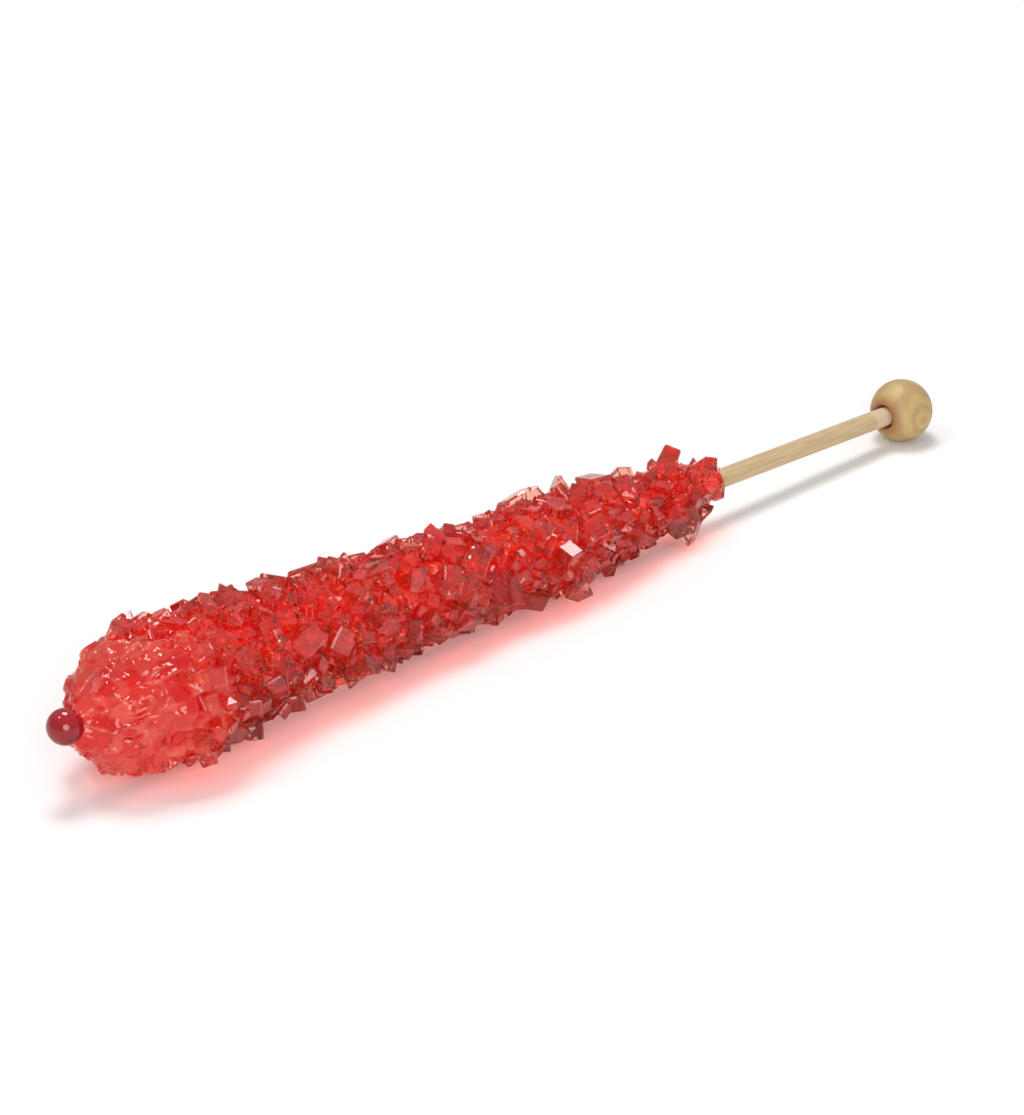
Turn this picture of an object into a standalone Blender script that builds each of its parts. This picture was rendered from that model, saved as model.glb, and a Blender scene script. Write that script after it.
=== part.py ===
"""Rock candy stick: sugar crystals grown on a wooden dowel with a turned wooden ball.

It lies on its side along X, tip towards -X and ball towards +X, resting on the
crystals under the thick end and on the ball. Metres, +Z up.
"""
import math
import random

import bmesh
import bpy
from mathutils import Matrix, Vector, noise

# Driving dimensions
OVERALL_LENGTH = 0.1778
BALL_DIAMETER = 0.0096
DOWEL_DIAMETER = 0.0029
BEAD_DIAMETER = 0.0049
CANDY_LENGTH = 0.1285
BULGE_RADIUS = 0.0104
AXIS_HEIGHT_AT_BULGE = 0.0105
CLEARANCE = 0.0003

# How far the dowel goes into the ball, and how far its end stays behind the bead's front
DOWEL_DEPTH_IN_BALL = 0.0062
SUGAR_OVER_DOWEL_END = 0.0011

# Candy outline: share of the length from the tip, share of the bulge's radius
CANDY_OUTLINE = (
    (0.036, 0.29),                                                  # neck behind the bead
    (0.076, 0.85), (0.115, 0.98), (0.157, 1.00),                    # shoulder and thickest place
    (0.240, 0.90), (0.380, 0.82), (0.600, 0.74), (0.835, 0.71),     # long taper
    (0.893, 0.59), (0.956, 0.52), (0.985, 0.40), (1.000, 0.18),     # last clump, down to the dowel
)
SMOOTH_TIP_SHARE = 0.18
SMOOTH_TIP_FADE = 0.1
CORE_SHRINK = 0.0013         # the crystals stand this far out of the core
CORE_SHRINK_AT_TIP = 0.25    # share of that shrink left near the tip
CORE_RINGS = 34
CORE_SIDES = 20
BEAD_STEPS = 5
BEAD_STEP_ANGLE = math.radians(25)
LUMP_SIZE = 0.008
LUMP_HEIGHT = 0.0009
LUMPS_FULL_FROM = 0.1        # shares of the length between which the lumps are at full height
LUMPS_END_AT = 0.985

# Crystals: blocky prisms that stand out of the core
CRYSTAL_ROWS = 33
CRYSTALS_PER_ROW = 6
CRYSTAL_MIN = 0.0026
CRYSTAL_MAX = 0.0050
CRYSTAL_DEPTH_SHARE = (0.65, 1.0)    # second width and length, in first widths
CRYSTAL_LENGTH_SHARE = (0.9, 1.4)
CRYSTAL_LEAN = math.radians(32)
CRYSTAL_SLANT = 0.25
CRYSTAL_STAND = 0.00035              # how far a crystal may pass the outline
CRYSTAL_STAND_AT_TIP = 0.00012
CRYSTALS_FROM = 0.085                # shares of the length between which they grow
CRYSTALS_TO = 0.975
SEED = 11

BALL_FLAT_RADIUS = 0.0023
BALL_FOOT_DEPTH = 0.0002

bulge_x = -OVERALL_LENGTH / 2 + 0.15 * CANDY_LENGTH
ball_x = OVERALL_LENGTH / 2 - BALL_DIAMETER / 2
tip_x = -OVERALL_LENGTH / 2
ball_height = BALL_DIAMETER / 2 - BALL_FOOT_DEPTH
axis_tilt = math.atan2(AXIS_HEIGHT_AT_BULGE - ball_height, ball_x - bulge_x)


def clear_scene():
    for old in list(bpy.data.objects):
        bpy.data.objects.remove(old, do_unlink=True)


def make_material(name, colour, roughness):
    material = bpy.data.materials.new(name)
    material.use_nodes = True
    shader = material.node_tree.nodes["Principled BSDF"]
    shader.inputs["Base Color"].default_value = (*colour, 1.0)
    shader.inputs["Roughness"].default_value = roughness
    shader.inputs["Metallic"].default_value = 0.0
    material.diffuse_color = (*colour, 1.0)
    return material


def add_object(name, mesh, parent, material=None):
    thing = bpy.data.objects.new(name, mesh)
    bpy.context.scene.collection.objects.link(thing)
    thing.parent = parent
    if material:
        mesh.materials.append(material)
    return thing


def hide_cutter(cutter):
    cutter.hide_render = True
    cutter.display_type = "WIRE"


def cut(target, cutter, operation="DIFFERENCE", self_touching=False):
    modifier = target.modifiers.new(operation.title() + " " + cutter.name, "BOOLEAN")
    modifier.operation = operation
    modifier.solver = "EXACT"
    modifier.use_self = self_touching
    modifier.object = cutter


def turned_mesh(name, outline, sides):
    """Closed body of revolution about X from (x, radius) points whose two ends lie on the axis."""
    shape = bmesh.new()
    start = shape.verts.new((outline[0][0], 0, 0))
    end = shape.verts.new((outline[-1][0], 0, 0))
    rings = []
    for x, radius in outline[1:-1]:
        angles = [math.tau * side / sides for side in range(sides)]
        rings.append([shape.verts.new((x, radius * math.cos(a), radius * math.sin(a))) for a in angles])
    for side in range(sides):
        after = (side + 1) % sides
        shape.faces.new((start, rings[0][after], rings[0][side]))
        shape.faces.new((end, rings[-1][side], rings[-1][after]))
        for ring, next_ring in zip(rings, rings[1:]):
            shape.faces.new((ring[side], ring[after], next_ring[after], next_ring[side]))
    bmesh.ops.recalc_face_normals(shape, faces=shape.faces)
    mesh = bpy.data.meshes.new(name)
    shape.to_mesh(mesh)
    shape.free()
    return mesh


def rod_mesh(name, start_x, end_x, radius, sides=24, end_chamfer=0.0):
    chamfer = max(end_chamfer, 0.0)
    outline = [(start_x, 0), (start_x, radius - chamfer)]
    if chamfer:
        outline += [(start_x + chamfer, radius), (end_x - chamfer, radius)]
    outline += [(end_x, radius - chamfer), (end_x, 0)]
    return turned_mesh(name, outline, sides)


def smooth_round(thing, angle=math.radians(35)):
    thing.data.shade_smooth()
    thing.data.set_sharp_from_angle(angle=angle)


def candy_radius(x):
    """Outer radius of the candy at x, eased between the outline's points."""
    share = (x - tip_x) / CANDY_LENGTH
    if share <= CANDY_OUTLINE[0][0]:
        return CANDY_OUTLINE[0][1] * BULGE_RADIUS
    for (share_a, size_a), (share_b, size_b) in zip(CANDY_OUTLINE, CANDY_OUTLINE[1:]):
        if share <= share_b:
            part = (share - share_a) / (share_b - share_a)
            ease = part * part * (3 - 2 * part)
            return (size_a + (size_b - size_a) * ease) * BULGE_RADIUS
    return CANDY_OUTLINE[-1][1] * BULGE_RADIUS


def core_outline():
    """Bead at the tip, a pinched neck, then the candy's body just under its crystals."""
    bead_radius = BEAD_DIAMETER / 2
    bead_x = tip_x + bead_radius
    outline = [(tip_x, 0.0)]
    for step in range(1, BEAD_STEPS + 1):
        angle = BEAD_STEP_ANGLE * step
        outline.append((bead_x - bead_radius * math.cos(angle), bead_radius * math.sin(angle)))
    first_x = tip_x + CANDY_OUTLINE[0][0] * CANDY_LENGTH
    last_x = tip_x + CANDY_LENGTH
    for ring in range(CORE_RINGS + 1):
        x = first_x + (last_x - first_x) * ring / CORE_RINGS
        share = (x - tip_x) / CANDY_LENGTH
        shrink = CORE_SHRINK * min(1.0, max(CORE_SHRINK_AT_TIP, (share - SMOOTH_TIP_SHARE) / SMOOTH_TIP_FADE))
        radius = max(candy_radius(x) - shrink, BULGE_RADIUS * CANDY_OUTLINE[-1][1])
        outline.append((x, radius))
    outline.append((last_x, 0.0))
    return outline


def roughen(mesh):
    """Push the core in and out in soft lumps, less and less towards the bead."""
    for vertex in mesh.vertices:
        place = vertex.co
        distance = math.hypot(place.y, place.z)
        share = (place.x - tip_x) / CANDY_LENGTH
        if distance < BEAD_DIAMETER / 2 or share > LUMPS_END_AT:
            continue
        lump = noise.noise(place / LUMP_SIZE) * LUMP_HEIGHT * min(1.0, share / LUMPS_FULL_FROM)
        vertex.co.y += place.y / distance * lump
        vertex.co.z += place.z / distance * lump


def add_crystal(shape, centre, outward, spin, size):
    """One slanted prism: size is its two widths and its length along outward."""
    turn = outward.to_track_quat("Z", "Y").to_matrix().to_4x4() @ Matrix.Rotation(spin, 4, "Z")
    place = Matrix.Translation(centre) @ turn
    corners = []
    for top in (-0.5, 0.5):
        for side_x, side_y in ((-0.5, -0.5), (0.5, -0.5), (0.5, 0.5), (-0.5, 0.5)):
            local = Vector((side_x * size[0] + top * CRYSTAL_SLANT * size[2], side_y * size[1], top * size[2]))
            corners.append(shape.verts.new(place @ local))
    low, high = corners[:4], corners[4:]
    shape.faces.new(reversed(low))
    shape.faces.new(high)
    for side in range(4):
        after = (side + 1) % 4
        shape.faces.new((low[side], low[after], high[after], high[side]))


def crystals_mesh():
    """Rows of leaning prisms round the core, bigger on the shaft and sunk deep near the tip."""
    dice = random.Random(SEED)
    shape = bmesh.new()
    first_x = tip_x + CRYSTALS_FROM * CANDY_LENGTH
    last_x = tip_x + CRYSTALS_TO * CANDY_LENGTH
    for row in range(CRYSTAL_ROWS):
        for place in range(CRYSTALS_PER_ROW):
            x = first_x + (last_x - first_x) * (row + dice.uniform(0.1, 0.9)) / CRYSTAL_ROWS
            angle = math.tau * (place + 0.5 * (row % 2) + dice.uniform(-0.3, 0.3)) / CRYSTALS_PER_ROW
            radial = Vector((0, math.cos(angle), math.sin(angle)))
            outward = radial + Vector((dice.uniform(-1, 1), dice.uniform(-1, 1), dice.uniform(-1, 1))) \
                * math.tan(CRYSTAL_LEAN)
            outward.normalize()
            width = dice.uniform(CRYSTAL_MIN, CRYSTAL_MAX)
            size = (width, width * dice.uniform(*CRYSTAL_DEPTH_SHARE), width * dice.uniform(*CRYSTAL_LENGTH_SHARE))
            share = (x - tip_x) / CANDY_LENGTH
            stand = CRYSTAL_STAND if share > SMOOTH_TIP_SHARE else CRYSTAL_STAND_AT_TIP
            reach = candy_radius(x) + stand * dice.uniform(-0.6, 1.0)
            centre = Vector((x, 0, 0)) + radial * (reach - 0.5 * size[2])
            add_crystal(shape, centre, outward, dice.uniform(0, math.tau), size)
    mesh = bpy.data.meshes.new("crystals")
    shape.to_mesh(mesh)
    shape.free()
    return mesh


def joined_skin(name, parts):
    """Union of closed parts as one mesh, without the little voids shut in between them."""
    bpy.context.view_layer.update()
    base = parts[0]
    for other in parts[1:]:
        cut(base, other, "UNION", self_touching=True)
    ready = bpy.context.evaluated_depsgraph_get()
    mesh = bpy.data.meshes.new_from_object(base.evaluated_get(ready))
    mesh.name = name
    for part in parts:
        bpy.data.objects.remove(part, do_unlink=True)
    shape = bmesh.new()
    shape.from_mesh(mesh)
    unseen = set(shape.verts)
    islands = []
    while unseen:
        island = set()
        front = [unseen.pop()]
        while front:
            vertex = front.pop()
            island.add(vertex)
            for edge in vertex.link_edges:
                neighbour = edge.other_vert(vertex)
                if neighbour in unseen:
                    unseen.remove(neighbour)
                    front.append(neighbour)
        islands.append(island)
    skin = max(islands, key=len)
    bmesh.ops.delete(shape, geom=[v for v in shape.verts if v not in skin], context="VERTS")
    shape.to_mesh(mesh)
    shape.free()
    mesh.materials.clear()
    return mesh


def ball_outline():
    """Ball with a small flat face round the bore, on the side of the dowel."""
    radius = BALL_DIAMETER / 2
    start = math.asin(BALL_FLAT_RADIUS / radius)
    outline = [(ball_x - radius * math.cos(start), 0.0)]
    steps = 12
    for step in range(steps):
        angle = start + (math.pi - start) * step / steps
        outline.append((ball_x - radius * math.cos(angle), radius * math.sin(angle)))
    outline.append((ball_x + radius, 0.0))
    return outline


def add_floor_cutter(name, parent, world_x, length):
    """Block below the resting plane; it shaves a small flat foot off a piece."""
    shape = bmesh.new()
    bmesh.ops.create_cube(shape, size=1.0)
    bmesh.ops.scale(shape, vec=(length, 0.04, 0.02), verts=shape.verts)
    bmesh.ops.translate(shape, vec=(world_x, 0, -0.01), verts=shape.verts)
    mesh = bpy.data.meshes.new(name)
    shape.to_mesh(mesh)
    shape.free()
    cutter = add_object(name, mesh, parent)
    hide_cutter(cutter)
    return cutter


def centre_on_floor(root, pieces):
    """Slide the whole stick so that the middle of its outline is over the origin."""
    bpy.context.view_layer.update()
    ready = bpy.context.evaluated_depsgraph_get()
    places = []
    for piece in pieces:
        finished = piece.evaluated_get(ready)
        places += [finished.matrix_world @ vertex.co for vertex in finished.data.vertices]
    for axis in (0, 1):
        values = [place[axis] for place in places]
        root.location[axis] -= (max(values) + min(values)) / 2
    bpy.context.view_layer.update()


def build():
    clear_scene()
    red_sugar = make_material("red rock sugar", (0.62, 0.035, 0.04), 0.18)
    dowel_wood = make_material("birch dowel", (0.76, 0.60, 0.36), 0.6)
    ball_wood = make_material("turned beech", (0.66, 0.53, 0.24), 0.5)

    root = bpy.data.objects.new("rest", None)
    bpy.context.scene.collection.objects.link(root)
    axis = bpy.data.objects.new("axis", None)
    bpy.context.scene.collection.objects.link(axis)
    axis.parent = root
    axis.rotation_euler = (0, axis_tilt, 0)
    turned = Matrix.Rotation(axis_tilt, 4, "Y") @ Vector((ball_x, 0, 0))
    axis.location = (ball_x - turned.x, 0, ball_height - turned.z)

    floor_cutter = add_floor_cutter("floor cutter", root, 0, OVERALL_LENGTH * 1.2)
    dowel_start = tip_x + SUGAR_OVER_DOWEL_END
    dowel_end = ball_x - BALL_DIAMETER / 2 + DOWEL_DEPTH_IN_BALL
    bore_radius = DOWEL_DIAMETER / 2 + CLEARANCE

    stick = add_object(
        "stick",
        rod_mesh("stick", dowel_start + CLEARANCE, dowel_end - CLEARANCE, DOWEL_DIAMETER / 2, end_chamfer=0.0003),
        axis, dowel_wood)
    smooth_round(stick)

    candy_bore = add_object(
        "candy bore", rod_mesh("candy bore", dowel_start, dowel_end, bore_radius), axis)
    ball_bore = add_object(
        "ball bore", rod_mesh("ball bore", dowel_start, dowel_end, bore_radius), axis)
    hide_cutter(candy_bore)
    hide_cutter(ball_bore)

    core_mesh = turned_mesh("core", core_outline(), CORE_SIDES)
    roughen(core_mesh)
    core = add_object("core", core_mesh, None)
    crystals = add_object("crystals", crystals_mesh(), None)
    candy = add_object("candy", joined_skin("candy", (core, crystals)), axis, red_sugar)
    cut(candy, candy_bore)
    cut(candy, floor_cutter)

    ball = add_object("ball", turned_mesh("ball", ball_outline(), 24), axis, ball_wood)
    smooth_round(ball)
    cut(ball, ball_bore)
    cut(ball, floor_cutter)

    centre_on_floor(root, (candy, stick, ball))


build()
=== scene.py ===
import math

import bmesh
import bpy
from mathutils import Matrix, Vector


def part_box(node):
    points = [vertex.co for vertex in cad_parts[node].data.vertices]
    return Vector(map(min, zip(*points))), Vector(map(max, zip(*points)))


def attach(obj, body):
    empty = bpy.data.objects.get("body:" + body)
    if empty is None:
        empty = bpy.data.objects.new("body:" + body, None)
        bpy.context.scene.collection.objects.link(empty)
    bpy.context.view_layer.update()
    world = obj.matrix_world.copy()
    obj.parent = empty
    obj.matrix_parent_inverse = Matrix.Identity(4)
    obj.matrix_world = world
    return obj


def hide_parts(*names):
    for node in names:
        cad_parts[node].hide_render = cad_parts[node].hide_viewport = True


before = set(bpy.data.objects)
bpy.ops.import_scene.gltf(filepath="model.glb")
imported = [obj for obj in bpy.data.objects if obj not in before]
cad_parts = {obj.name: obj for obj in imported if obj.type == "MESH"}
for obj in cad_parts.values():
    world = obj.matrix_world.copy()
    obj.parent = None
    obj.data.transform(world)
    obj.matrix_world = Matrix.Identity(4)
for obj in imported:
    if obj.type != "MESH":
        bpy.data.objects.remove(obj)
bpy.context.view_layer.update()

mm = 0.001
restHeight = 0.05 * mm      # sugar that touches the floor stops this far above it

# The stick's axis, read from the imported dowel: it dips a little towards the ball
dowelLow, dowelHigh = (Vector(corner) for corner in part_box("stick"))
ballLow, ballHigh = (Vector(corner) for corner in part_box("ball"))
candyLow, candyHigh = (Vector(corner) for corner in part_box("candy"))
dowelRadius = (dowelHigh.y - dowelLow.y) / 2
ballRadius = (ballHigh.y - ballLow.y) / 2
axisY = (dowelHigh.y + dowelLow.y) / 2
axisFrom = Vector((dowelLow.x, axisY, dowelHigh.z - dowelRadius))   # end inside the bead
axisTo = Vector((dowelHigh.x, axisY, dowelLow.z + dowelRadius))     # end inside the ball
axisDirection = (axisTo - axisFrom).normalized()
candyLength = (candyHigh.x - candyLow.x) / axisDirection.x
tipPoint = axisFrom - axisDirection * (axisFrom.x - candyLow.x) / axisDirection.x
ballCentre = Vector((ballHigh.x - ballRadius, axisY, 0))
ballCentre = tipPoint + axisDirection * ((ballCentre.x - tipPoint.x) / axisDirection.x)


def linear(hexColour):
    # sRGB hex to the linear colour that shaders take
    parts = [int(hexColour[i:i + 2], 16) / 255 for i in (1, 3, 5)]
    return [p / 12.92 if p <= 0.04045 else ((p + 0.055) / 1.055) ** 2.4 for p in parts] + [1.0]


def addNode(tree, kind, settings=None, feeds=None):
    # one node, its settings, and its inputs: a socket is linked, anything else is a fixed value
    node = tree.nodes.new(kind)
    for name, value in (settings or {}).items():
        setattr(node, name, value)
    for name, value in (feeds or {}).items():
        if isinstance(value, bpy.types.NodeSocket):
            tree.links.new(value, node.inputs[name])
        else:
            node.inputs[name].default_value = value
    return node


def newMaterial(name):
    material = bpy.data.materials.new(name)
    material.use_nodes = True
    material.node_tree.nodes.clear()
    return material, material.node_tree


def rampStops(ramp, stops):
    # stops: (place, hex colour) pairs
    elements = ramp.color_ramp.elements
    while len(elements) < len(stops):
        elements.new(0.5)
    for element, (place, colour) in zip(elements, stops):
        element.position = place
        element.color = linear(colour)


def showObject(name, mesh):
    piece = bpy.data.objects.new(name, mesh)
    bpy.context.scene.collection.objects.link(piece)
    return piece


def onAxis():
    # turns a shape made along X from the tip into its place on the stick
    turn = axisDirection.to_track_quat("X", "Z").to_matrix().to_4x4()
    return Matrix.Translation(tipPoint) @ turn


sugarLook = {
    "ior": 1.54,               # sucrose
    "waveSize": 1.3 * mm,      # faces are never quite flat: slow waves
    "crystalWave": 0.06 * mm, "coreWave": 0.22 * mm, "beadWave": 0.03 * mm,
    "waveRough": 0.4,
    "cloudSize": 7 * mm,       # patches where the syrup took more or less colour
    "cloudShare": 0.5, "deepAt": 0.15, "paleAt": 0.9,
    "crystalPale": "#FAB29E", "crystalDeep": "#F2503E", "crystalClear": 0.985, "crystalRough": 0.03,
    "crystalLamp": "#FFF7F5",  # tint that each face gives to lamp light on its way through
    "corePale": "#FF7860", "coreDeep": "#E01008", "coreClear": 0.4, "coreRough": 0.05,
    "coreLamp": "#CA9C94",
    "beadPale": "#CC2C50", "beadDeep": "#A40C38", "beadClear": 1.0, "beadRough": 0.03,
    "beadLamp": "#D89090",
}


def rockSugarMaterial(name, kind):
    # rock sugar, grown from syrup: clear hard faces, so it glints and shows red depth between them
    look = sugarLook
    material, tree = newMaterial(name)
    tone = addNode(tree, "ShaderNodeAttribute", {"attribute_name": "tone"})
    place = addNode(tree, "ShaderNodeTexCoord")
    cloud = addNode(tree, "ShaderNodeTexNoise", None, {
        "Vector": place.outputs["Object"], "Scale": 1 / look["cloudSize"], "Detail": 2.0, "Roughness": 0.5})
    mixed = addNode(tree, "ShaderNodeMath", {"operation": "MULTIPLY_ADD"}, {
        0: cloud.outputs["Fac"], 1: look["cloudShare"], 2: tone.outputs["Fac"]})
    ramp = addNode(tree, "ShaderNodeValToRGB", None, {"Fac": mixed.outputs[0]})
    rampStops(ramp, ((look["deepAt"], look[kind + "Deep"]), (look["paleAt"], look[kind + "Pale"])))
    wave = addNode(tree, "ShaderNodeTexNoise", None, {
        "Vector": place.outputs["Object"], "Scale": 1 / look["waveSize"], "Detail": 1.0,
        "Roughness": look["waveRough"]})
    bump = addNode(tree, "ShaderNodeBump", None, {
        "Height": wave.outputs["Fac"], "Strength": 1.0, "Distance": look[kind + "Wave"]})
    glow = addNode(tree, "ShaderNodeBsdfPrincipled", None, {
        "Base Color": ramp.outputs["Color"], "Roughness": look[kind + "Rough"], "IOR": look["ior"],
        "Transmission Weight": look[kind + "Clear"], "Normal": bump.outputs[0]})
    lamp = addNode(tree, "ShaderNodeBsdfTransparent", None, {"Color": linear(look[kind + "Lamp"])})
    path = addNode(tree, "ShaderNodeLightPath")
    blend = addNode(tree, "ShaderNodeMixShader", None, {
        0: path.outputs["Is Shadow Ray"], 1: glow.outputs[0], 2: lamp.outputs[0]})
    addNode(tree, "ShaderNodeOutputMaterial", None, {"Surface": blend.outputs[0]})
    return material


crystalSugar = rockSugarMaterial("grown rock sugar crystals", "crystal")
coreSugar = rockSugarMaterial("grown rock sugar mass", "core")
beadSugar = rockSugarMaterial("burnt syrup bead", "bead")


# The mass of fused sugar round the dowel
core = {
    # share of the candy's length, share of the bulge's radius
    "outline": ((0.0, 0.03), (0.012, 0.21), (0.030, 0.38), (0.066, 0.79),      # neck and shoulder
                (0.100, 0.95), (0.140, 1.00), (0.170, 0.94), (0.200, 0.79),    # thick end
                (0.320, 0.64), (0.600, 0.545), (0.820, 0.51),                  # long taper
                (0.890, 0.34), (0.935, 0.31), (0.980, 0.165), (1.000, 0.135)),
    "bulgeRadius": 10.4 * mm,
    "start": 2.2 * mm,         # inside the bead
    "film": 1.5 * mm,          # thin sugar on the wood past the last clump
    "sag": 1.4 * mm,           # the neck behind the bead hangs below the dowel
    # distance behind the bead in metres, share of the sag
    "hang": ((0.0015, 0.35), (0.0045, 1.0), (0.009, 0.6), (0.016, 0.3), (0.030, 0.0)),
    "calmTo": 10 * mm,         # relief fades out on the neck
    "calmShare": 0.1,
    "rings": 420,
    "sides": 170,
    "lumpSize": 9 * mm,
    "lumpHeight": 4.2 * mm,
    "blockSize": 2.4 * mm,     # flat facets of the crystals that fused into the mass
    "blockHeight": 0.7 * mm,
    "blockTilt": 0.5,
    "foldSize": 4.5 * mm,      # folds the syrup left as it ran towards the tip
    "foldHeight": 0.5 * mm,
    "foldStretch": 0.3,        # below 1: folds run along the stick
    "foldBend": 0.6,
    "crestWidth": 0.03,        # in noise values either side of the crest
    "foldFadeFrom": 12 * mm, "foldFadeTo": 30 * mm, "foldFadeShare": 0.25,
    "facetTone": 0.45, "crestTone": 0.45,
    "seed": 3,
}


def groupInput(tree, name, kind, value=None):
    socket = tree.interface.new_socket(name=name, in_out="INPUT", socket_type=kind)
    if value is not None:
        socket.default_value = value
    return socket


def startTree(name):
    tree = bpy.data.node_groups.new(name, "GeometryNodeTree")
    tree.interface.new_socket(name="Geometry", in_out="OUTPUT", socket_type="NodeSocketGeometry")
    tree.interface.new_socket(name="Geometry", in_out="INPUT", socket_type="NodeSocketGeometry")
    return tree


def endTree(tree, geometry, material):
    realized = addNode(tree, "GeometryNodeRealizeInstances", None, {"Geometry": geometry})
    painted = addNode(tree, "GeometryNodeSetMaterial", None, {
        "Geometry": realized.outputs[0], "Material": material})
    addNode(tree, "NodeGroupOutput", None, {"Geometry": painted.outputs[0]})


def growPiece(name, tree, values, startMesh=None):
    # run a tree with its named inputs set, and keep the result as a plain mesh
    holder = showObject(name + "Holder", startMesh or bpy.data.meshes.new(name + "Start"))
    modifier = holder.modifiers.new("grow", "NODES")
    modifier.node_group = tree
    for item in tree.interface.items_tree:
        if item.item_type == "SOCKET" and item.in_out == "INPUT" and item.name in values:
            modifier[item.identifier] = values[item.name]
    bpy.context.view_layer.update()
    ready = bpy.context.evaluated_depsgraph_get()
    mesh = bpy.data.meshes.new_from_object(holder.evaluated_get(ready))
    mesh.name = name
    holder.modifiers.remove(modifier)
    bpy.data.objects.remove(holder, do_unlink=True)
    return mesh


def coreTree():
    tree = startTree("sugar core along the dowel")
    for name, kind, value in (
            ("Start", "NodeSocketVector", None), ("End", "NodeSocketVector", None),
            ("Bulge Radius", "NodeSocketFloat", 0.010), ("Sag", "NodeSocketFloat", 0.0),
            ("Rings", "NodeSocketInt", 100), ("Sides", "NodeSocketInt", 48),
            ("Lump Size", "NodeSocketFloat", 0.006), ("Lump Height", "NodeSocketFloat", 0.001),
            ("Block Size", "NodeSocketFloat", 0.003), ("Block Height", "NodeSocketFloat", 0.001),
            ("Block Tilt", "NodeSocketFloat", 0.5), ("Fold Size", "NodeSocketFloat", 0.004),
            ("Fold Height", "NodeSocketFloat", 0.0005), ("Seed", "NodeSocketInt", 0),
            ("Material", "NodeSocketMaterial", None)):
        groupInput(tree, name, kind, value)
    given = addNode(tree, "NodeGroupInput").outputs
    line = addNode(tree, "GeometryNodeCurvePrimitiveLine", None, {
        "Start": given["Start"], "End": given["End"]})
    fine = addNode(tree, "GeometryNodeResampleCurve", None, {
        "Curve": line.outputs[0], "Count": given["Rings"]})
    along = addNode(tree, "GeometryNodeSplineParameter")
    shape = addNode(tree, "ShaderNodeFloatCurve", None, {"Value": along.outputs["Factor"]})
    curve = shape.mapping.curves[0]
    curve.points[0].location = core["outline"][0]
    curve.points[-1].location = core["outline"][-1]
    for point in core["outline"][1:-1]:
        curve.points.new(*point)
    shape.mapping.update()
    radius = addNode(tree, "ShaderNodeMath", {"operation": "MULTIPLY"}, {
        0: shape.outputs[0], 1: given["Bulge Radius"]})
    ring = addNode(tree, "GeometryNodeCurvePrimitiveCircle", None, {
        "Resolution": given["Sides"], "Radius": 1.0})
    skin = addNode(tree, "GeometryNodeCurveToMesh", None, {
        "Curve": fine.outputs[0], "Profile Curve": ring.outputs[0], "Scale": radius.outputs[0],
        "Fill Caps": True})
    where = addNode(tree, "GeometryNodeInputPosition")
    lumps = addNode(tree, "ShaderNodeTexNoise", {"noise_dimensions": "4D"}, {
        "Vector": where.outputs[0], "W": given["Seed"], "Detail": 1.0})
    perMetre = addNode(tree, "ShaderNodeMath", {"operation": "DIVIDE"}, {0: 1.0, 1: given["Lump Size"]})
    tree.links.new(perMetre.outputs[0], lumps.inputs["Scale"])
    centred = addNode(tree, "ShaderNodeMath", {"operation": "SUBTRACT"}, {0: lumps.outputs["Fac"], 1: 0.5})
    height = addNode(tree, "ShaderNodeMath", {"operation": "MULTIPLY"}, {
        0: centred.outputs[0], 1: given["Lump Height"]})
    # fused crystals: each cell is a flat facet with its own height and tilt
    blocks = addNode(tree, "ShaderNodeTexVoronoi", {
        "distance": "CHEBYCHEV", "voronoi_dimensions": "3D"}, {
        "Vector": where.outputs[0], "Randomness": 0.9})
    blocksPerMetre = addNode(tree, "ShaderNodeMath", {"operation": "DIVIDE"}, {
        0: 1.0, 1: given["Block Size"]})
    tree.links.new(blocksPerMetre.outputs[0], blocks.inputs["Scale"])
    chance = addNode(tree, "ShaderNodeVectorMath", {"operation": "SUBTRACT"}, {
        0: blocks.outputs["Color"], 1: (0.5, 0.5, 0.5)})
    fromCell = addNode(tree, "ShaderNodeVectorMath", {"operation": "SUBTRACT"}, {
        0: where.outputs[0], 1: blocks.outputs["Position"]})
    leaning = addNode(tree, "ShaderNodeVectorMath", {"operation": "DOT_PRODUCT"}, {
        0: fromCell.outputs[0], 1: chance.outputs[0]})
    tilted = addNode(tree, "ShaderNodeMath", {"operation": "MULTIPLY"}, {
        0: leaning.outputs["Value"], 1: given["Block Tilt"]})
    stepUp = addNode(tree, "ShaderNodeSeparateXYZ", None, {0: chance.outputs[0]})
    raised = addNode(tree, "ShaderNodeMath", {"operation": "MULTIPLY_ADD"}, {
        0: stepUp.outputs["X"], 1: given["Block Height"], 2: tilted.outputs[0]})
    height = addNode(tree, "ShaderNodeMath", {"operation": "ADD"}, {
        0: raised.outputs[0], 1: height.outputs[0]})
    fromEnd = addNode(tree, "ShaderNodeVectorMath", {"operation": "SUBTRACT"}, {
        0: where.outputs[0], 1: given["Start"]})
    reach = addNode(tree, "ShaderNodeVectorMath", {"operation": "LENGTH"}, {0: fromEnd.outputs[0]})
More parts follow.
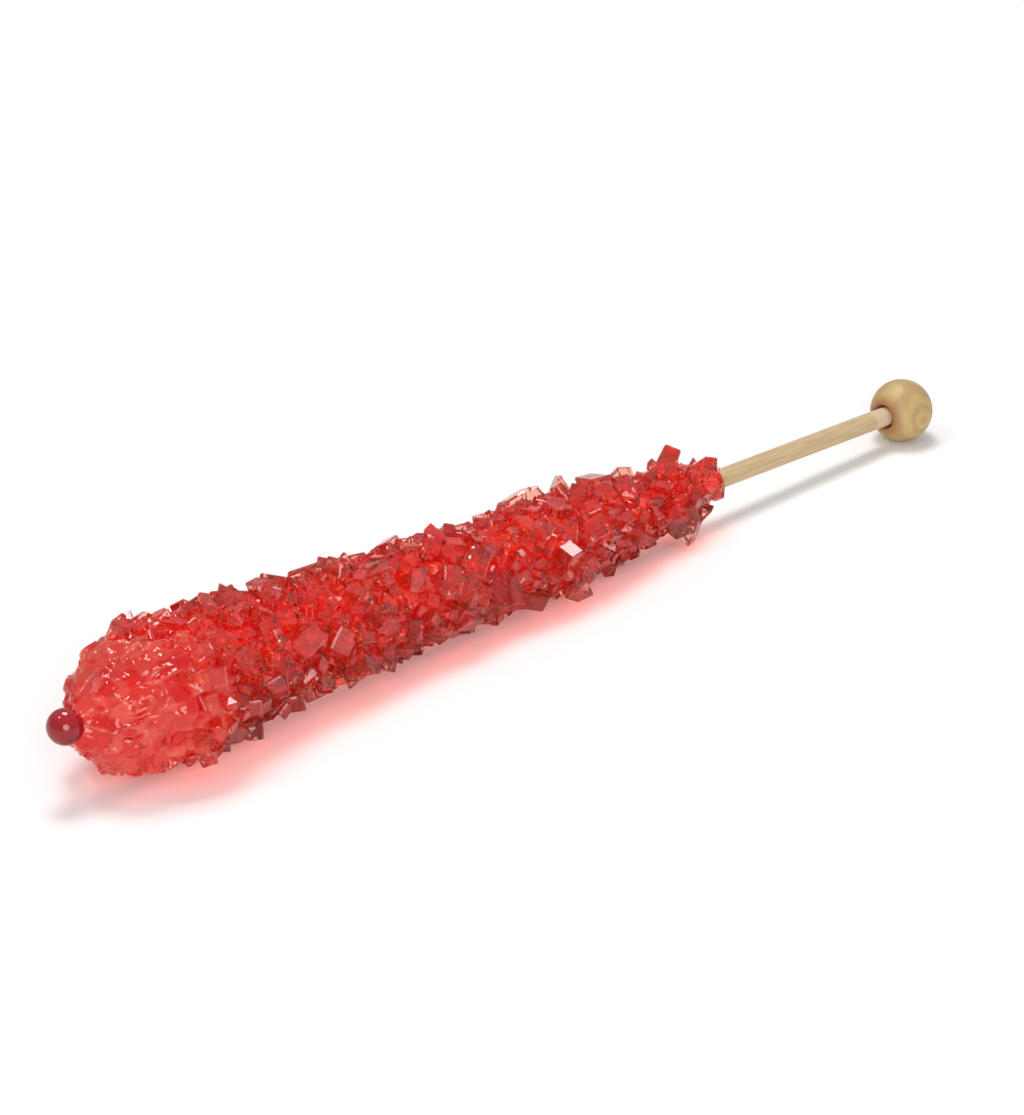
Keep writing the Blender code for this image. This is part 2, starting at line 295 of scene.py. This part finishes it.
    # folds of syrup: thin crests that run back from the tip, fading out where the crystals start
    drawnOut = addNode(tree, "ShaderNodeVectorMath", {"operation": "MULTIPLY"}, {
        0: where.outputs[0], 1: (core["foldStretch"], 1.0, 1.0)})
    flow = addNode(tree, "ShaderNodeTexNoise", {"noise_dimensions": "4D"}, {
        "Vector": drawnOut.outputs[0], "W": given["Seed"], "Detail": 1.0, "Distortion": core["foldBend"]})
    foldsPerMetre = addNode(tree, "ShaderNodeMath", {"operation": "DIVIDE"}, {0: 1.0, 1: given["Fold Size"]})
    tree.links.new(foldsPerMetre.outputs[0], flow.inputs["Scale"])
    fromCrest = addNode(tree, "ShaderNodeMath", {"operation": "SUBTRACT"}, {0: flow.outputs["Fac"], 1: 0.5})
    fromCrest = addNode(tree, "ShaderNodeMath", {"operation": "ABSOLUTE"}, {0: fromCrest.outputs[0]})
    crest = addNode(tree, "ShaderNodeMapRange", {"interpolation_type": "SMOOTHSTEP"}, {
        "Value": fromCrest.outputs[0], "From Min": 0.0, "From Max": core["crestWidth"],
        "To Min": 1.0, "To Max": 0.0})
    nearTip = addNode(tree, "ShaderNodeMapRange", {"interpolation_type": "SMOOTHSTEP"}, {
        "Value": reach.outputs["Value"], "From Min": core["foldFadeFrom"], "From Max": core["foldFadeTo"],
        "To Min": 1.0, "To Max": core["foldFadeShare"]})
    fold = addNode(tree, "ShaderNodeMath", {"operation": "MULTIPLY"}, {
        0: crest.outputs[0], 1: nearTip.outputs[0]})
    height = addNode(tree, "ShaderNodeMath", {"operation": "MULTIPLY_ADD"}, {
        0: fold.outputs[0], 1: given["Fold Height"], 2: height.outputs[0]})
    neck = addNode(tree, "ShaderNodeMapRange", {"interpolation_type": "SMOOTHSTEP"}, {
        "Value": reach.outputs["Value"], "From Min": 0.0, "From Max": core["calmTo"],
        "To Min": core["calmShare"], "To Max": 1.0})
    height = addNode(tree, "ShaderNodeMath", {"operation": "MULTIPLY"}, {
        0: height.outputs[0], 1: neck.outputs[0]})
    facing = addNode(tree, "GeometryNodeInputNormal")
    push = addNode(tree, "ShaderNodeVectorMath", {"operation": "SCALE"}, {
        0: facing.outputs[0], "Scale": height.outputs[0]})
    # tone: crests and some facets are paler than the rest
    facetTone = addNode(tree, "ShaderNodeMath", {"operation": "MULTIPLY"}, {
        0: stepUp.outputs["Y"], 1: core["facetTone"]})
    tone = addNode(tree, "ShaderNodeMath", {"operation": "MULTIPLY_ADD"}, {
        0: fold.outputs[0], 1: core["crestTone"], 2: facetTone.outputs[0]})
    toned = addNode(tree, "GeometryNodeStoreNamedAttribute", {"data_type": "FLOAT", "domain": "POINT"}, {
        "Geometry": skin.outputs[0], "Name": "tone", "Value": tone.outputs[0]})
    moved = addNode(tree, "GeometryNodeSetPosition", None, {
        "Geometry": toned.outputs[0], "Offset": push.outputs[0]})
    # the neck hangs: most a few millimetres behind the bead, nothing at either end
    hang = addNode(tree, "ShaderNodeFloatCurve", None, {"Value": reach.outputs["Value"]})
    hang.mapping.curves[0].points[0].location = (0.0, 0.0)
    hang.mapping.curves[0].points[-1].location = (1.0, 0.0)
    for place, share in core["hang"]:
        hang.mapping.curves[0].points.new(place, share)
    hang.mapping.update()
    drop = addNode(tree, "ShaderNodeMath", {"operation": "MULTIPLY"}, {
        0: hang.outputs[0], 1: given["Sag"]})
    down = addNode(tree, "ShaderNodeVectorMath", {"operation": "SCALE"}, {
        0: (0, 0, -1), "Scale": drop.outputs[0]})
    sagged = addNode(tree, "GeometryNodeSetPosition", None, {
        "Geometry": moved.outputs[0], "Offset": down.outputs[0]})
    smooth = addNode(tree, "GeometryNodeSetShadeSmooth", None, {"Geometry": sagged.outputs[0]})
    endTree(tree, smooth.outputs[0], given["Material"])
    return tree


coreEnd = tipPoint + axisDirection * (candyLength + core["film"])
coreMesh = growPiece("sugarCore", coreTree(), {
    "Start": tipPoint + axisDirection * core["start"], "End": coreEnd, "Bulge Radius": core["bulgeRadius"],
    "Sag": core["sag"], "Rings": core["rings"], "Sides": core["sides"], "Lump Size": core["lumpSize"],
    "Lump Height": core["lumpHeight"], "Block Size": core["blockSize"], "Block Height": core["blockHeight"],
    "Block Tilt": core["blockTilt"], "Fold Size": core["foldSize"], "Fold Height": core["foldHeight"],
    "Seed": core["seed"], "Material": coreSugar})
for vertex in coreMesh.vertices:
    vertex.co.z = max(vertex.co.z, restHeight)
sugarCore = showObject("sugarCore", coreMesh)
print("core grown:", len(coreMesh.polygons), "faces")


# Single crystals standing on it, from grit to the biggest blocks
crystals = {
    # bare: share of the length at the tip with none, full: where they stand thick and proud
    "small": {"gap": 1.35 * mm, "low": 1.0 * mm, "high": 2.3 * mm, "lean": 0.8, "lift": 0.10,
              "bare": 0.15, "full": 0.25, "seed": 5},
    "middle": {"gap": 2.3 * mm, "low": 1.8 * mm, "high": 3.3 * mm, "lean": 0.45, "lift": 0.05,
               "bare": 0.11, "full": 0.26, "seed": 8},
    "large": {"gap": 5.5 * mm, "low": 3.2 * mm, "high": 4.8 * mm, "lean": 0.35, "lift": 0.0,
              "bare": 0.13, "full": 0.30, "seed": 14},
}
scatter = {
    "mostPerArea": 4.0e6,      # per square metre, before the gap thins them out
    "coverFrom": 0.45,         # share of spots taken where they begin
    "smallBias": 1.6,          # above 1: more small ones than big ones
    "sunk": -0.42,             # in crystal sizes, where they begin
    "reach": -0.6,             # in crystal sizes, how far one reaches down from its spot
    "paleTo": 0.8,
    "skew": 0.12,
}
crystalShapes = {
    # width, depth and height in crystal sizes, slant of the top, chamfer of the edges
    "block": (1.0, 0.85, 1.15, 0.0, 0.05),
    "tablet": (1.0, 0.55, 1.25, 0.25, 0.05),
    "wedge": (0.9, 0.8, 1.3, 0.45, 0.06),
    "bar": (0.65, 0.6, 1.5, 0.2, 0.05),
}


def crystalShapeMesh(name, width, depth, height, slant, chamfer):
    shape = bmesh.new()
    bmesh.ops.create_cube(shape, size=1.0)
    for vertex in shape.verts:
        vertex.co = Vector((vertex.co.x * width, vertex.co.y * depth, vertex.co.z * height))
        if vertex.co.z > 0:
            vertex.co.z += slant * vertex.co.x
        vertex.co.x += scatter["skew"] * vertex.co.z
    bmesh.ops.bevel(shape, geom=shape.edges[:], offset=chamfer, segments=1, affect="EDGES", profile=0.5)
    bmesh.ops.recalc_face_normals(shape, faces=shape.faces)
    mesh = bpy.data.meshes.new(name)
    shape.to_mesh(mesh)
    shape.free()
    return mesh


shapeBox = bpy.data.collections.new("crystal shapes")
for shapeName, sizes in crystalShapes.items():
    shapeBox.objects.link(bpy.data.objects.new(shapeName, crystalShapeMesh(shapeName, *sizes)))


def crystalTree():
    tree = startTree("crystals on the core")
    for name, kind, value in (
            ("Shapes", "NodeSocketCollection", None), ("Gap", "NodeSocketFloat", 0.002),
            ("Smallest", "NodeSocketFloat", 0.002), ("Largest", "NodeSocketFloat", 0.003),
            ("Lean", "NodeSocketFloat", 0.5), ("Lift", "NodeSocketFloat", 0.2),
            ("Tip", "NodeSocketVector", None), ("Along", "NodeSocketVector", None),
            ("Bare To", "NodeSocketFloat", 0.01), ("Full From", "NodeSocketFloat", 0.03),
            ("Floor", "NodeSocketFloat", 0.0), ("Seed", "NodeSocketInt", 0),
            ("Material", "NodeSocketMaterial", None)):
        groupInput(tree, name, kind, value)
    given = addNode(tree, "NodeGroupInput").outputs
    # how far along the stick a spot is decides how thick and how proud the crystals stand
    here = addNode(tree, "GeometryNodeInputPosition")
    fromTip = addNode(tree, "ShaderNodeVectorMath", {"operation": "SUBTRACT"}, {
        0: here.outputs[0], 1: given["Tip"]})
    along = addNode(tree, "ShaderNodeVectorMath", {"operation": "DOT_PRODUCT"}, {
        0: fromTip.outputs[0], 1: given["Along"]})
    thick = addNode(tree, "ShaderNodeMapRange", {"interpolation_type": "SMOOTHSTEP"}, {
        "Value": along.outputs["Value"], "From Min": given["Bare To"], "From Max": given["Full From"],
        "To Min": 0.0, "To Max": 1.0})
    cover = addNode(tree, "ShaderNodeMapRange", None, {
        "Value": along.outputs["Value"], "From Min": given["Bare To"], "From Max": given["Full From"],
        "To Min": scatter["coverFrom"], "To Max": 1.0})
    begun = addNode(tree, "ShaderNodeMath", {"operation": "GREATER_THAN"}, {
        0: along.outputs["Value"], 1: given["Bare To"]})
    factor = addNode(tree, "ShaderNodeMath", {"operation": "MULTIPLY"}, {
        0: cover.outputs[0], 1: begun.outputs[0]})
    spots = addNode(tree, "GeometryNodeDistributePointsOnFaces", {"distribute_method": "POISSON"}, {
        "Mesh": given["Geometry"], "Distance Min": given["Gap"],
        "Density Max": scatter["mostPerArea"],
        "Density Factor": factor.outputs[0], "Seed": given["Seed"]})
    luck = addNode(tree, "FunctionNodeRandomValue", {"data_type": "FLOAT"}, {"Seed": given["Seed"]})
    few = addNode(tree, "ShaderNodeMath", {"operation": "POWER"}, {
        0: luck.outputs[1], 1: scatter["smallBias"]})
    size = addNode(tree, "ShaderNodeMapRange", None, {
        "Value": few.outputs[0], "To Min": given["Smallest"], "To Max": given["Largest"]})
    sunk = addNode(tree, "ShaderNodeMapRange", None, {
        "Value": thick.outputs[0], "To Min": scatter["sunk"], "To Max": given["Lift"]})
    lift = addNode(tree, "ShaderNodeMath", {"operation": "MULTIPLY"}, {
        0: size.outputs[0], 1: sunk.outputs[0]})
    raised = addNode(tree, "ShaderNodeVectorMath", {"operation": "SCALE"}, {
        0: spots.outputs["Normal"], "Scale": lift.outputs[0]})
    lifted = addNode(tree, "GeometryNodeSetPosition", None, {
        "Geometry": spots.outputs["Points"], "Offset": raised.outputs[0]})
    # spots where a crystal would reach into the floor stay empty
    spotAt = addNode(tree, "ShaderNodeSeparateXYZ", None, {0: here.outputs[0]})
    below = addNode(tree, "ShaderNodeMath", {"operation": "MULTIPLY_ADD"}, {
        0: size.outputs[0], 1: scatter["reach"], 2: spotAt.outputs["Z"]})
    buried = addNode(tree, "ShaderNodeMath", {"operation": "LESS_THAN"}, {
        0: below.outputs[0], 1: given["Floor"]})
    standing = addNode(tree, "GeometryNodeDeleteGeometry", {"domain": "POINT"}, {
        "Geometry": lifted.outputs[0], "Selection": buried.outputs[0]})
    most = addNode(tree, "ShaderNodeCombineXYZ", None, {
        "X": given["Lean"], "Y": given["Lean"], "Z": math.pi})
    least = addNode(tree, "ShaderNodeVectorMath", {"operation": "SCALE"}, {0: most.outputs[0], "Scale": -1.0})
    turn = addNode(tree, "FunctionNodeRandomValue", {"data_type": "FLOAT_VECTOR"}, {
        0: least.outputs[0], 1: most.outputs[0], "Seed": given["Seed"]})
    turned = addNode(tree, "FunctionNodeRotateRotation", {"rotation_space": "LOCAL"}, {
        0: spots.outputs["Rotation"]})
    toTurn = addNode(tree, "FunctionNodeEulerToRotation", None, {0: turn.outputs[0]})
    tree.links.new(toTurn.outputs[0], turned.inputs[1])
    shapes = addNode(tree, "GeometryNodeCollectionInfo", None, {
        "Collection": given["Shapes"], "Separate Children": True, "Reset Children": True})
    pick = addNode(tree, "FunctionNodeRandomValue", {"data_type": "INT"}, {
        4: 0, 5: 99, "Seed": given["Seed"]})
    placed = addNode(tree, "GeometryNodeInstanceOnPoints", None, {
        "Points": standing.outputs[0], "Instance": shapes.outputs[0], "Pick Instance": True,
        "Instance Index": pick.outputs[2], "Rotation": turned.outputs[0], "Scale": size.outputs[0]})
    shade = addNode(tree, "FunctionNodeRandomValue", {"data_type": "FLOAT"}, {
        2: 0.0, 3: scatter["paleTo"], "Seed": given["Seed"]})
    toned = addNode(tree, "GeometryNodeStoreNamedAttribute", {"data_type": "FLOAT", "domain": "INSTANCE"}, {
        "Geometry": placed.outputs[0], "Name": "tone", "Value": shade.outputs[1]})
    loose = addNode(tree, "GeometryNodeRealizeInstances", None, {"Geometry": toned.outputs[0]})
    where = addNode(tree, "GeometryNodeInputPosition")
    parts = addNode(tree, "ShaderNodeSeparateXYZ", None, {0: where.outputs[0]})
    above = addNode(tree, "ShaderNodeMath", {"operation": "MAXIMUM"}, {
        0: parts.outputs["Z"], 1: given["Floor"]})
    kept = addNode(tree, "ShaderNodeCombineXYZ", None, {
        "X": parts.outputs["X"], "Y": parts.outputs["Y"], "Z": above.outputs[0]})
    flattened = addNode(tree, "GeometryNodeSetPosition", None, {
        "Geometry": loose.outputs[0], "Position": kept.outputs[0]})
    endTree(tree, flattened.outputs[0], given["Material"])
    return tree


grow = crystalTree()
sugarPieces = [sugarCore]
for kind, sizes in crystals.items():
    mesh = growPiece(kind + "Crystals", grow, {
        "Shapes": shapeBox, "Gap": sizes["gap"], "Smallest": sizes["low"], "Largest": sizes["high"],
        "Lean": sizes["lean"], "Lift": sizes["lift"], "Tip": tipPoint, "Along": axisDirection,
        "Bare To": sizes["bare"] * candyLength, "Full From": sizes["full"] * candyLength,
        "Floor": restHeight, "Seed": sizes["seed"], "Material": crystalSugar}, coreMesh.copy())
    sugarPieces.append(showObject(kind + "Crystals", mesh))
    print(kind, "crystals grown:", len(mesh.polygons), "faces")


# Bead, dowel and ball are turned about the stick's axis
def turnedMesh(name, outline, sides):
    # outline: (distance from the tip, radius) pairs, both ends on the axis
    shape = bmesh.new()
    rings = []
    for along, radius in outline:
        angles = [math.tau * side / sides for side in range(sides)] if radius > 0 else [0]
        rings.append([shape.verts.new((along, radius * math.cos(a), radius * math.sin(a))) for a in angles])
    for ring, following in zip(rings, rings[1:]):
        for side in range(sides):
            after = (side + 1) % sides
            corners = [ring[side % len(ring)], ring[after % len(ring)],
                       following[after % len(following)], following[side % len(following)]]
            shape.faces.new(list(dict.fromkeys(corners)))
    bmesh.ops.recalc_face_normals(shape, faces=shape.faces)
    mesh = bpy.data.meshes.new(name)
    shape.to_mesh(mesh)
    shape.free()
    mesh.transform(onAxis())
    mesh.shade_smooth()
    mesh.set_sharp_from_angle(angle=math.radians(40))
    return mesh


turnedSides = 48
bead = {"radius": 2.6 * mm, "steps": 18}
beadOutline = []
for step in range(bead["steps"] + 1):
    angle = math.pi * step / bead["steps"]
    radius = bead["radius"] * math.sin(angle) if 0 < step < bead["steps"] else 0
    beadOutline.append((bead["radius"] * (1 - math.cos(angle)), radius))
tipBead = showObject("tipBead", turnedMesh("tipBead", beadOutline, turnedSides))
tipBead.data.materials.append(beadSugar)
sugarPieces.append(tipBead)

wood = {
    "dowelPale": "#C8B08A", "dowelDark": "#B3966A", "dowelGrain": 0.3 * mm,
    "dowelBare": "#D2B498", "bareLength": 2.4 * mm,        # pale end by the ball, where the stain stops
    "dowelStained": "#D8705C", "stainLength": 1.6 * mm,    # syrup soaked in beside the sugar
    "ballPale": "#BCA068", "ballDark": "#B2905E", "ballRing": 1.0 * mm,
    "paintedMouthShade": "#9A683C",                               # painted shade: darker brown round the bore, standing in for the shade on the flat face and in the bore's mouth
    "mouthFrom": 1.9 * mm, "mouthTo": 4.2 * mm,
    "grainStretch": 0.06,      # below 1: grain runs along the dowel
    "stainWobble": 1.5 * mm, "bareFade": 0.5 * mm,
    "dowelRough": 0.62, "ballRough": 0.45,
    "grainDepth": 0.05 * mm, "dowelRelief": 0.35, "ballRelief": 0.2,
}


def dowelMaterial():
    # birch dowel, rolled and sanded but bare: fine grain along its length, dull
    material, tree = newMaterial("sanded birch dowel")
    place = addNode(tree, "ShaderNodeTexCoord")
    stretched = addNode(tree, "ShaderNodeMapping", None, {
        "Vector": place.outputs["Object"], "Scale": (wood["grainStretch"], 1.0, 1.0)})
    grain = addNode(tree, "ShaderNodeTexNoise", None, {
        "Vector": stretched.outputs[0], "Scale": 1 / wood["dowelGrain"], "Detail": 4.0, "Roughness": 0.6})
    ramp = addNode(tree, "ShaderNodeValToRGB", None, {"Fac": grain.outputs["Fac"]})
    rampStops(ramp, ((0.30, wood["dowelDark"]), (0.62, wood["dowelPale"])))
    bump = addNode(tree, "ShaderNodeBump", None, {
        "Height": grain.outputs["Fac"], "Strength": wood["dowelRelief"], "Distance": wood["grainDepth"]})
    # the two ends differ: stained beside the sugar, bare beside the ball
    along = addNode(tree, "ShaderNodeSeparateXYZ", None, {0: place.outputs["Object"]})
    wobble = addNode(tree, "ShaderNodeMath", {"operation": "MULTIPLY_ADD"}, {
        0: grain.outputs["Fac"], 1: wood["stainWobble"], 2: along.outputs["X"]})
    stained = addNode(tree, "ShaderNodeMapRange", {"interpolation_type": "SMOOTHSTEP"}, {
        "Value": wobble.outputs[0], "From Min": coreEnd.x, "From Max": coreEnd.x + wood["stainLength"],
        "To Min": 1.0, "To Max": 0.0})
    bare = addNode(tree, "ShaderNodeMapRange", {"interpolation_type": "SMOOTHSTEP"}, {
        "Value": wobble.outputs[0], "From Min": ballLow.x - wood["bareLength"],
        "From Max": ballLow.x - wood["bareLength"] + wood["bareFade"]})
    colour = addNode(tree, "ShaderNodeMix", {"data_type": "RGBA"}, {
        0: stained.outputs[0], 6: ramp.outputs["Color"], 7: linear(wood["dowelStained"])})
    colour = addNode(tree, "ShaderNodeMix", {"data_type": "RGBA"}, {
        0: bare.outputs[0], 6: colour.outputs[2], 7: linear(wood["dowelBare"])})
    shader = addNode(tree, "ShaderNodeBsdfPrincipled", None, {
        "Base Color": colour.outputs[2], "Roughness": wood["dowelRough"], "Normal": bump.outputs[0]})
    addNode(tree, "ShaderNodeOutputMaterial", None, {"Surface": shader.outputs[0]})
    return material


def ballMaterial():
    # turned beech bead: soft growth rings cut across, a little sheen from the tumbling
    material, tree = newMaterial("turned beech ball")
    place = addNode(tree, "ShaderNodeTexCoord")
    centred = addNode(tree, "ShaderNodeMapping", None, {
        "Vector": place.outputs["Object"], "Location": tuple(-ballCentre)})
    rings = addNode(tree, "ShaderNodeTexWave", {"wave_type": "RINGS", "rings_direction": "Y"}, {
        "Vector": centred.outputs[0], "Scale": 1 / wood["ballRing"] / math.tau, "Distortion": 4.0,
        "Detail": 2.0, "Detail Scale": 2.0})
    ramp = addNode(tree, "ShaderNodeValToRGB", None, {"Fac": rings.outputs["Fac"]})
    rampStops(ramp, ((0.1, wood["ballDark"]), (0.75, wood["ballPale"])))
    bump = addNode(tree, "ShaderNodeBump", None, {
        "Height": rings.outputs["Fac"], "Strength": wood["ballRelief"], "Distance": wood["grainDepth"]})
    # painted shade: near the bore's mouth the wood colour is mixed towards a darker brown, standing in for
    # shade on the flat face and the bore
    mouth = ballCentre - axisDirection * ballRadius
    fromMouth = addNode(tree, "ShaderNodeVectorMath", {"operation": "DISTANCE"}, {
        0: place.outputs["Object"], 1: tuple(mouth)})
    shade = addNode(tree, "ShaderNodeMapRange", {"interpolation_type": "SMOOTHSTEP"}, {
        "Value": fromMouth.outputs["Value"], "From Min": wood["mouthFrom"], "From Max": wood["mouthTo"],
        "To Min": 1.0, "To Max": 0.0})
    colour = addNode(tree, "ShaderNodeMix", {"data_type": "RGBA"}, {
        0: shade.outputs[0], 6: ramp.outputs["Color"], 7: linear(wood["paintedMouthShade"])})
    shader = addNode(tree, "ShaderNodeBsdfPrincipled", None, {
        "Base Color": colour.outputs[2], "Roughness": wood["ballRough"], "Normal": bump.outputs[0]})
    addNode(tree, "ShaderNodeOutputMaterial", None, {"Surface": shader.outputs[0]})
    return material


dowelFrom = (axisFrom - tipPoint).length
dowelTo = (axisTo - tipPoint).length
chamfer = 0.3 * mm
dowelOutline = [(dowelFrom, 0), (dowelFrom, dowelRadius - chamfer), (dowelFrom + chamfer, dowelRadius),
                (dowelTo - chamfer, dowelRadius), (dowelTo, dowelRadius - chamfer), (dowelTo, 0)]
dowel = showObject("dowel", turnedMesh("dowel", dowelOutline, turnedSides))
dowel.data.materials.append(dowelMaterial())

ball = {"flatRadius": 2.3 * mm, "boreRadius": 1.75 * mm, "boreDepth": 6.6 * mm, "steps": 30, "sides": 64,
        "mouthDepth": 0.3 * mm, "mouthFlare": 0.25 * mm}
middle = (ballCentre - tipPoint).length
flatAngle = math.asin(ball["flatRadius"] / ballRadius)
flatAt = middle - ballRadius * math.cos(flatAngle)
ballOutline = [(flatAt + ball["boreDepth"], 0),
               (flatAt + ball["boreDepth"], ball["boreRadius"]),
               (flatAt + ball["mouthDepth"], ball["boreRadius"]),
               (flatAt, ball["boreRadius"] + ball["mouthFlare"])]
for step in range(ball["steps"] + 1):
    angle = flatAngle + (math.pi - flatAngle) * step / ball["steps"]
    radius = ballRadius * math.sin(angle) if step < ball["steps"] else 0
    ballOutline.append((middle - ballRadius * math.cos(angle), radius))
woodBall = showObject("woodBall", turnedMesh("woodBall", ballOutline, ball["sides"]))
woodBall.data.materials.append(ballMaterial())
for vertex in woodBall.data.vertices:
    vertex.co.z = max(vertex.co.z, 0.0)
print("wood turned")

# Floor, light and camera
studio = {
    "floorWhite": "#F3F3F3", "floorReach": 3.0,
    "world": 0.56,
    "keyWatts": 3.7, "keySize": 0.36, "keyPlace": (0.13, 0.24, 0.86),
    "sideWatts": 2.6, "sideSize": 0.45, "sidePlace": (-0.45, -0.55, 0.26),
    "sparkWatts": 0.6, "sparkSize": 0.12, "sparkPlace": (-0.35, 0.25, 0.7),
    "cameraFromMiddle": 0.739, "cameraHeight": 0.353, "cameraTurn": -135.3, "lens": 183.0,
    "seeThrough": 64, "bendThrough": 20, "bounces": 24,    # light passes many sugar faces
}


def studioFloor():
    shape = bmesh.new()
    bmesh.ops.create_grid(shape, x_segments=8, y_segments=8, size=studio["floorReach"])
    mesh = bpy.data.meshes.new("floor")
    shape.to_mesh(mesh)
    shape.free()
    floor = showObject("floor", mesh)
    material, tree = newMaterial("matt white paper sweep")
    shader = addNode(tree, "ShaderNodeBsdfPrincipled", None, {
        "Base Color": linear(studio["floorWhite"]), "Roughness": 0.9, "Specular IOR Level": 0.1})
    addNode(tree, "ShaderNodeOutputMaterial", None, {"Surface": shader.outputs[0]})
    mesh.materials.append(material)
    return floor


def addLamp(name, place, size, watts):
    lamp = bpy.data.lights.new(name, "AREA")
    lamp.shape = "DISK"
    lamp.size = size
    lamp.energy = watts
    holder = bpy.data.objects.new(name, lamp)
    holder.location = place
    holder.rotation_euler = (-Vector(place)).to_track_quat("-Z", "Y").to_euler()
    bpy.context.scene.collection.objects.link(holder)


studioFloor()
addLamp("key softbox", studio["keyPlace"], studio["keySize"], studio["keyWatts"])
addLamp("side softbox", studio["sidePlace"], studio["sideSize"], studio["sideWatts"])
addLamp("spark lamp", studio["sparkPlace"], studio["sparkSize"], studio["sparkWatts"])
scene = bpy.context.scene
world = bpy.data.worlds.new("white studio")
world.use_nodes = True
world.node_tree.nodes["Background"].inputs["Color"].default_value = (1, 1, 1, 1)
world.node_tree.nodes["Background"].inputs["Strength"].default_value = studio["world"]
scene.world = world
scene.cycles.transparent_max_bounces = studio["seeThrough"]
scene.cycles.transmission_bounces = studio["bendThrough"]
scene.cycles.max_bounces = studio["bounces"]
scene.view_settings.view_transform = "Standard"
scene.view_settings.look = "None"

stickMiddle = (tipPoint + axisDirection * bead["radius"] + ballCentre) / 2
cameraAngle = math.radians(studio["cameraTurn"])
cameraPlace = Vector((stickMiddle.x + studio["cameraFromMiddle"] * math.cos(cameraAngle),
                      stickMiddle.y + studio["cameraFromMiddle"] * math.sin(cameraAngle),
                      studio["cameraHeight"]))
camera = bpy.data.objects.new("camera", bpy.data.cameras.new("camera"))
camera.data.lens = studio["lens"]
camera.data.sensor_width = 36.0
camera.data.clip_start = 0.01
camera.location = cameraPlace
camera.rotation_euler = (stickMiddle - cameraPlace).to_track_quat("-Z", "Y").to_euler()
scene.collection.objects.link(camera)
scene.camera = camera
print("studio set")

for piece in sugarPieces + [dowel, woodBall]:
    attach(piece, "root")
for piece in sugarPieces:
    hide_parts("candy")
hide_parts("stick")
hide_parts("ball")
